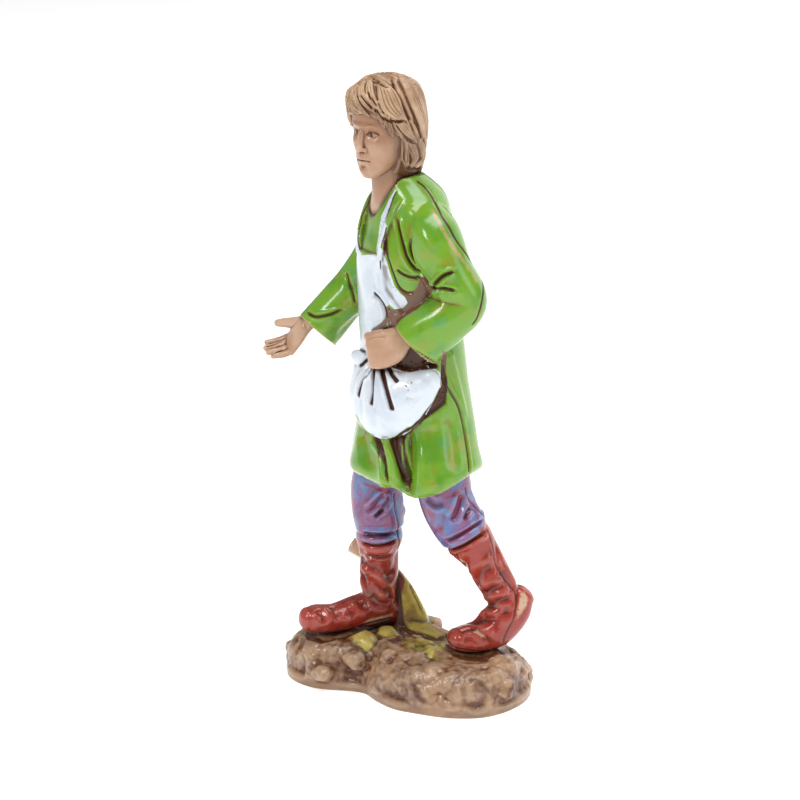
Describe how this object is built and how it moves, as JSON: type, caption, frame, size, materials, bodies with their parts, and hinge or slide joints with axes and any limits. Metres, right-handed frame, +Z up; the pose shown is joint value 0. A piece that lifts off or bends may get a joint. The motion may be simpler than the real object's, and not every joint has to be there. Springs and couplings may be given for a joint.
{
  "type": "presepe figure",
  "caption": "Striding sower with one palm held out and the other hand gathering an apron into a seed pouch, moulded in one with a rocky base.",
  "frame": {"origin": "on the flat underside of the rocky base, below the figure's spine", "axes": "+Z up, -Y the way the figure faces and strides, +X its left side, where the fist holds the apron"},
  "size_m": [0.0455, 0.0366, 0.1082],
  "materials": {
    "painted_plastic": "hand painted in green, white, brick red, violet blue and bare flesh-coloured plastic, glossy varnish, dark wash in the grooves"
  },
  "bodies": {
    "root": {"sower_figure": "painted_plastic"}
  },
  "joints": []
}
